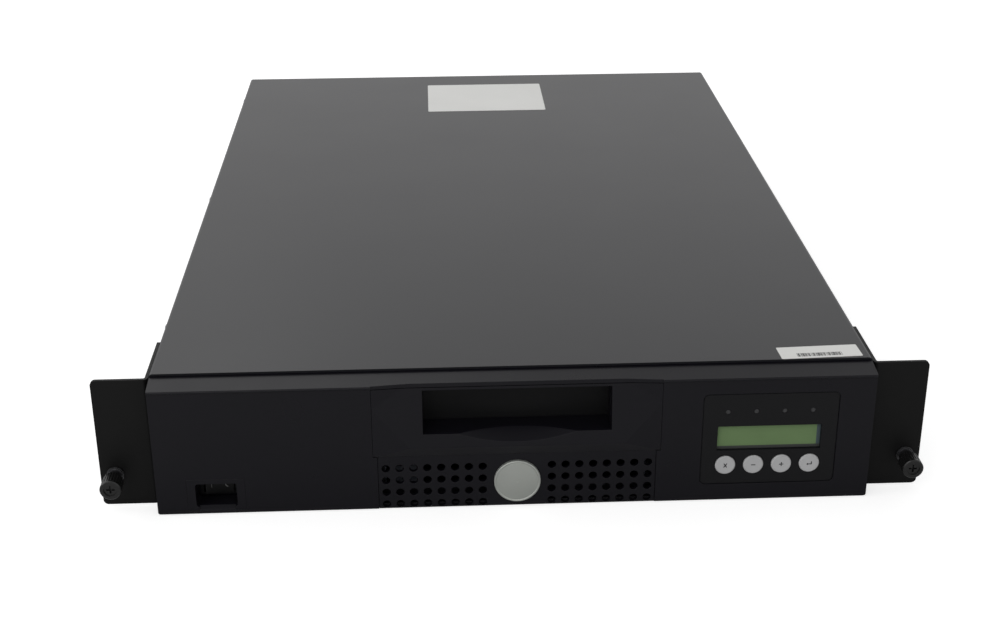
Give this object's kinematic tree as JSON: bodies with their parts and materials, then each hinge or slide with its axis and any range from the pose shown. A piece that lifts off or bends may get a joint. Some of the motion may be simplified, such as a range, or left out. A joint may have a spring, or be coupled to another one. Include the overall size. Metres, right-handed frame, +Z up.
{
  "type": "data tape library",
  "caption": "Rack-mount tape autoloader with a flap-covered media slot, keypad and display, rack ears with captive screws, tape drive, magazines and a cartridge robot.",
  "frame": {"origin": "centre of the chassis's flat underside", "axes": "+X to the viewer's right when facing the front, +Y from the front bezel to the rear wall, +Z up"},
  "size_m": [0.4826, 0.6315, 0.085],
  "materials": {
    "chassis_paint": "satin dark paint",
    "bezel_plastic": "fine grain",
    "surround_plastic": "fine grain",
    "badge_face": "satin",
    "overlay_film": "satin film",
    "display_glass": "display",
    "lamp_lens": "clear lens",
    "button_plastic": "light grey",
    "board": "circuit board",
    "switch_plastic": "black",
    "flap_plastic": "fine grain",
    "bracket_paint": "matt black paint",
    "fastener_steel": "zinc plated",
    "dark_screw": "blackened",
    "knob_metal": "black oxide",
    "collar_metal": "plain",
    "drive_case": "sheet steel",
    "zinc_sheet": "zinc plated sheet",
    "magazine_plastic": "moulded",
    "shaft_steel": "ground",
    "motor_can": "plain",
    "robot_plastic": "moulded",
    "gear_plastic": "acetal",
    "pinion_brass": "plain",
    "hook_plastic": "moulded",
    "cradle_plastic": "moulded",
    "inlet_plastic": "black",
    "contact_metal": "plated",
    "fan_plastic": "black",
    "guard_wire": "bright",
    "connector_shell": "plated",
    "ribbon_film": "grey"
  },
  "bodies": {
    "chassis": {"chassis_tray": "chassis_paint", "top_cover": "chassis_paint", "cover_screws": "fastener_steel", "front_bezel": "bezel_plastic", "intake_grille": "bezel_plastic", "badge_plate": "badge_face", "panel_overlay": "overlay_film", "lcd_display": "display_glass", "status_leds": "lamp_lens", "panel_board": "board", "board_screws": "fastener_steel", "switch_shroud": "surround_plastic", "power_switch_body": "switch_plastic", "slot_fascia": "bezel_plastic", "door_pin": "shaft_steel", "left_rack_bracket": "bracket_paint", "right_rack_bracket": "bracket_paint", "bracket_screws": "dark_screw", "left_screw_collar": "collar_metal", "right_screw_collar": "collar_metal", "tape_drive": "drive_case", "drive_stand": "zinc_sheet", "left_magazine": "magazine_plastic", "right_magazine": "magazine_plastic", "guide_rods": "shaft_steel", "rod_blocks": "robot_plastic", "travel_motor": "motor_can", "power_supply": "zinc_sheet", "power_inlet": "inlet_plastic", "inlet_pins": "contact_metal", "fan_frame": "fan_plastic", "fan_guard": "guard_wire", "supply_fan_frame": "fan_plastic", "supply_fan_guard": "guard_wire", "fan_screws": "fastener_steel", "main_board": "board", "board_posts": "fastener_steel", "scsi_connectors": "connector_shell", "scsi_board": "board", "drive_ribbon": "ribbon_film", "panel_ribbon": "ribbon_film"},
    "cancel_button": {"cancel_button": "button_plastic"},
    "previous_button": {"previous_button": "button_plastic"},
    "next_button": {"next_button": "button_plastic"},
    "enter_button": {"enter_button": "button_plastic"},
    "media_door": {"media_door": "flap_plastic"},
    "power_rocker": {"power_rocker": "switch_plastic"},
    "left_thumbscrew": {"left_thumbscrew": "knob_metal"},
    "right_thumbscrew": {"right_thumbscrew": "knob_metal"},
    "fan_rotor": {"fan_rotor": "fan_plastic"},
    "supply_fan_rotor": {"supply_fan_rotor": "fan_plastic"},
    "travel_screw": {"travel_screw": "shaft_steel"},
    "robot_carriage": {"robot_carriage": "robot_plastic", "lift_posts": "shaft_steel"},
    "lift_table": {"lift_table": "zinc_sheet", "turn_motor": "motor_can"},
    "turntable": {"turntable": "gear_plastic", "cartridge_cradle": "cradle_plastic"},
    "turn_pinion": {"turn_pinion": "pinion_brass"},
    "picker_hook": {"picker_hook": "hook_plastic"}
  },
  "joints": [
    {"name": "cancel_press", "type": "slide", "parent": "chassis", "child": "cancel_button", "axis": [0, 1, 0], "range_m": [0, 0.0008], "stiffness_N_per_m": 400, "springref_m": -0.0005},
    {"name": "previous_press", "type": "slide", "parent": "chassis", "child": "previous_button", "axis": [0, 1, 0], "range_m": [0, 0.0008], "stiffness_N_per_m": 400, "springref_m": -0.0005},
    {"name": "next_press", "type": "slide", "parent": "chassis", "child": "next_button", "axis": [0, 1, 0], "range_m": [0, 0.0008], "stiffness_N_per_m": 400, "springref_m": -0.0005},
    {"name": "enter_press", "type": "slide", "parent": "chassis", "child": "enter_button", "axis": [0, 1, 0], "range_m": [0, 0.0008], "stiffness_N_per_m": 400, "springref_m": -0.0005},
    {"name": "media_door_swing", "type": "hinge", "parent": "chassis", "child": "media_door", "pos_m": [0.0012, -0.2978, 0.076], "axis": [1, 0, 0], "range_deg": [0, 80], "stiffness_Nm_per_rad": 0.002, "springref_deg": -28.65},
    {"name": "power_rocker_tilt", "type": "hinge", "parent": "chassis", "child": "power_rocker", "pos_m": [-0.1736, -0.301, 0.0128], "axis": [0, 0, 1], "range_deg": [-16, 0]},
    {"name": "left_thumbscrew_turn", "type": "hinge", "parent": "chassis", "child": "left_thumbscrew", "pos_m": [-0.23254, -0.306, 0.0222], "axis": [0, 1, 0], "continuous": true},
    {"name": "right_thumbscrew_turn", "type": "hinge", "parent": "chassis", "child": "right_thumbscrew", "pos_m": [0.23254, -0.306, 0.0222], "axis": [0, 1, 0], "continuous": true},
    {"name": "fan_spin", "type": "hinge", "parent": "chassis", "child": "fan_rotor", "pos_m": [-0.045, 0.293, 0.036], "axis": [0, 1, 0], "continuous": true},
    {"name": "supply_fan_spin", "type": "hinge", "parent": "chassis", "child": "supply_fan_rotor", "pos_m": [-0.13, 0.294, 0.0235], "axis": [0, 1, 0], "continuous": true},
    {"name": "robot_travel", "type": "slide", "parent": "chassis", "child": "robot_carriage", "axis": [0, 1, 0], "range_m": [-0.112, 0]},
    {"name": "travel_screw_turn", "type": "hinge", "parent": "chassis", "child": "travel_screw", "pos_m": [-0.0648, -0.15, 0.0075], "axis": [0, 1, 0], "range_deg": [-4040, 5]},
    {"name": "robot_lift", "type": "slide", "parent": "robot_carriage", "child": "lift_table", "axis": [0, 0, 1], "range_m": [0, 0.031]},
    {"name": "turntable_turn", "type": "hinge", "parent": "lift_table", "child": "turntable", "pos_m": [0.0012, -0.098, 0.0166], "axis": [0, 0, 1], "range_deg": [-90, 90]},
    {"name": "turn_pinion_spin", "type": "hinge", "parent": "lift_table", "child": "turn_pinion", "pos_m": [0.0012, -0.161, 0.0166], "axis": [0, 0, 1], "range_deg": [-545, 545]},
    {"name": "picker_reach", "type": "slide", "parent": "turntable", "child": "picker_hook", "axis": [0, 1, 0], "range_m": [0, 0.084]}
  ],
  "couplings": [
    {"joint": "travel_screw_turn", "follows": "robot_travel", "rad_per_m": 628.32},
    {"joint": "turn_pinion_spin", "follows": "turntable_turn", "ratio": -6}
  ]
}
